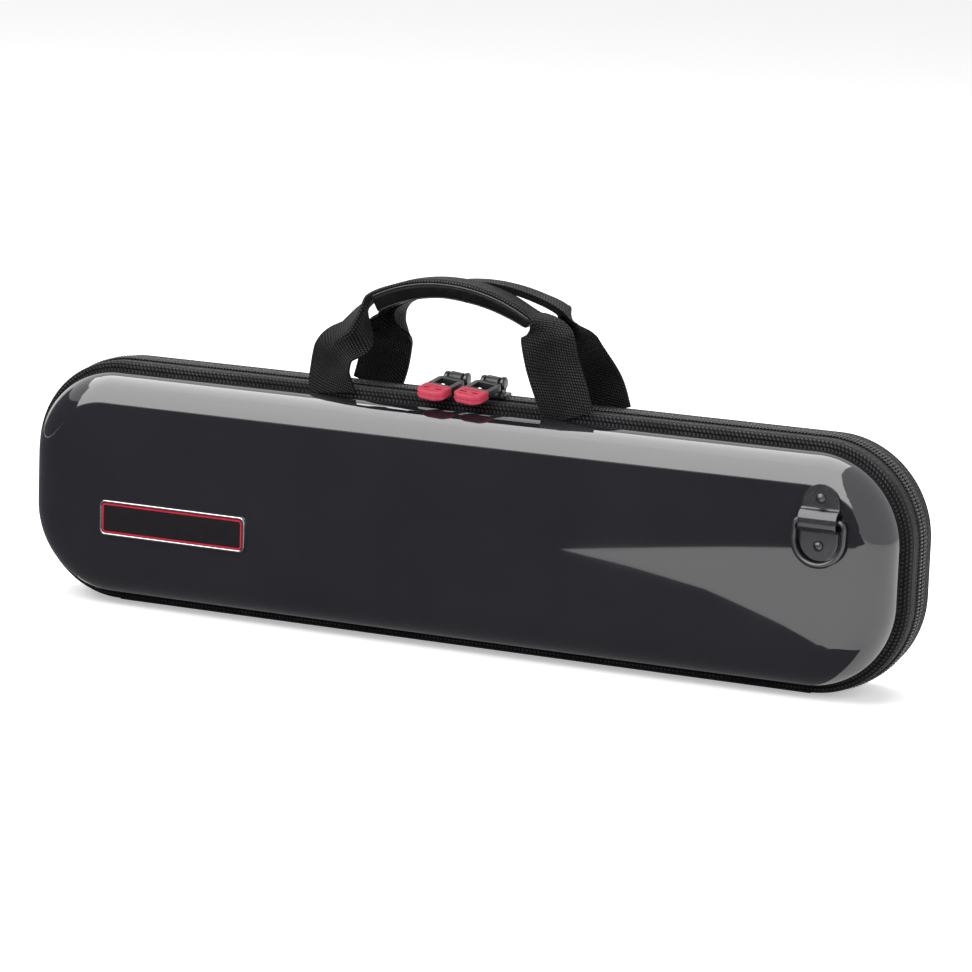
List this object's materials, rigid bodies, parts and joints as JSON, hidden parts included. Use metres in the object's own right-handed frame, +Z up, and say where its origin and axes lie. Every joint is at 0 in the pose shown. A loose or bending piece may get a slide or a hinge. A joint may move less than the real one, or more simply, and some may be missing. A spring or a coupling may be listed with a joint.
{
  "type": "flute case",
  "caption": "Slim hard-shell flute case that zips round three sides, folds open on a fabric hinge and is carried by webbing handles.",
  "frame": {"origin": "middle of the underside, on the fold line of the fabric hinge, where the case stands", "axes": "+X along the case, +Y from the front shell to the back shell, +Z up to the zipped edge and the handles"},
  "size_m": [0.43, 0.0696, 0.1636],
  "materials": {
    "shell": "high gloss moulded shell",
    "woven_band": "coarse black weave",
    "zip_tape": "smooth fine weave",
    "zip_coil": "satin black coil",
    "hinge_fabric": "plain weave",
    "black_metal": "black, semi-gloss",
    "foam": "foam under plush",
    "plush": "short black plush",
    "badge_edge": "bright",
    "badge_field": "gloss, red border line",
    "pull_plastic": "moulded black",
    "red_rubber": "soft red",
    "webbing": "black webbing",
    "grip_vinyl": "smooth vinyl"
  },
  "bodies": {
    "back_half": {"back_shell": "shell", "back_rim_band": "woven_band", "back_zip_tape": "zip_tape", "back_zip_coil": "zip_coil", "back_hinge_leaf": "hinge_fabric", "back_ring_clip": "black_metal", "back_clip_rivets": "black_metal", "foam_bed": "foam", "bed_lining": "plush"},
    "lid": {"front_shell": "shell", "front_rim_band": "woven_band", "front_zip_tape": "zip_tape", "front_zip_coil": "zip_coil", "front_hinge_leaf": "hinge_fabric", "front_ring_clip": "black_metal", "front_clip_rivets": "black_metal", "lid_pad": "foam", "lid_lining": "plush", "badge_frame": "badge_edge", "badge_plate": "badge_field"},
    "left_slider": {"left_slider_body": "black_metal"},
    "left_pull": {"left_pull_frame": "pull_plastic", "left_pull_tip": "red_rubber"},
    "right_slider": {"right_slider_body": "black_metal"},
    "right_pull": {"right_pull_frame": "pull_plastic", "right_pull_tip": "red_rubber"},
    "front_handle": {"front_handle_strap": "webbing", "front_handle_grip": "grip_vinyl"},
    "back_handle": {"back_handle_strap": "webbing"},
    "front_ring": {"front_carry_ring": "black_metal"},
    "back_ring": {"back_carry_ring": "black_metal"}
  },
  "joints": [
    {"name": "lid_hinge", "type": "hinge", "parent": "back_half", "child": "lid", "pos_m": [0, 0, 0], "axis": [1, 0, 0], "range_deg": [0, 170]},
    {"name": "left_slider_slide", "type": "slide", "parent": "back_half", "child": "left_slider", "axis": [-1, 0, 0], "range_m": [0, 0.032]},
    {"name": "right_slider_slide", "type": "slide", "parent": "back_half", "child": "right_slider", "axis": [1, 0, 0], "range_m": [0, 0.019]},
    {"name": "left_pull_swing", "type": "hinge", "parent": "left_slider", "child": "left_pull", "pos_m": [-0.0072, 0, 0.1188], "axis": [-1, 0, 0], "range_deg": [0, 152]},
    {"name": "right_pull_swing", "type": "hinge", "parent": "right_slider", "child": "right_pull", "pos_m": [0.0108, 0, 0.1188], "axis": [-1, 0, 0], "range_deg": [0, 152]},
    {"name": "front_handle_fold", "type": "hinge", "parent": "lid", "child": "front_handle", "pos_m": [0, -0.0145, 0.1094], "axis": [1, 0, 0], "range_deg": [0, 80]},
    {"name": "back_handle_fold", "type": "hinge", "parent": "back_half", "child": "back_handle", "pos_m": [0, 0.0145, 0.1094], "axis": [-1, 0, 0], "range_deg": [0, 90]},
    {"name": "front_ring_swing", "type": "hinge", "parent": "lid", "child": "front_ring", "pos_m": [0.1788, -0.03223, 0.08042], "axis": [-1, 0, 0], "range_deg": [0, 160]},
    {"name": "back_ring_swing", "type": "hinge", "parent": "back_half", "child": "back_ring", "pos_m": [-0.1788, 0.03223, 0.08042], "axis": [1, 0, 0], "range_deg": [0, 160]}
  ]
}
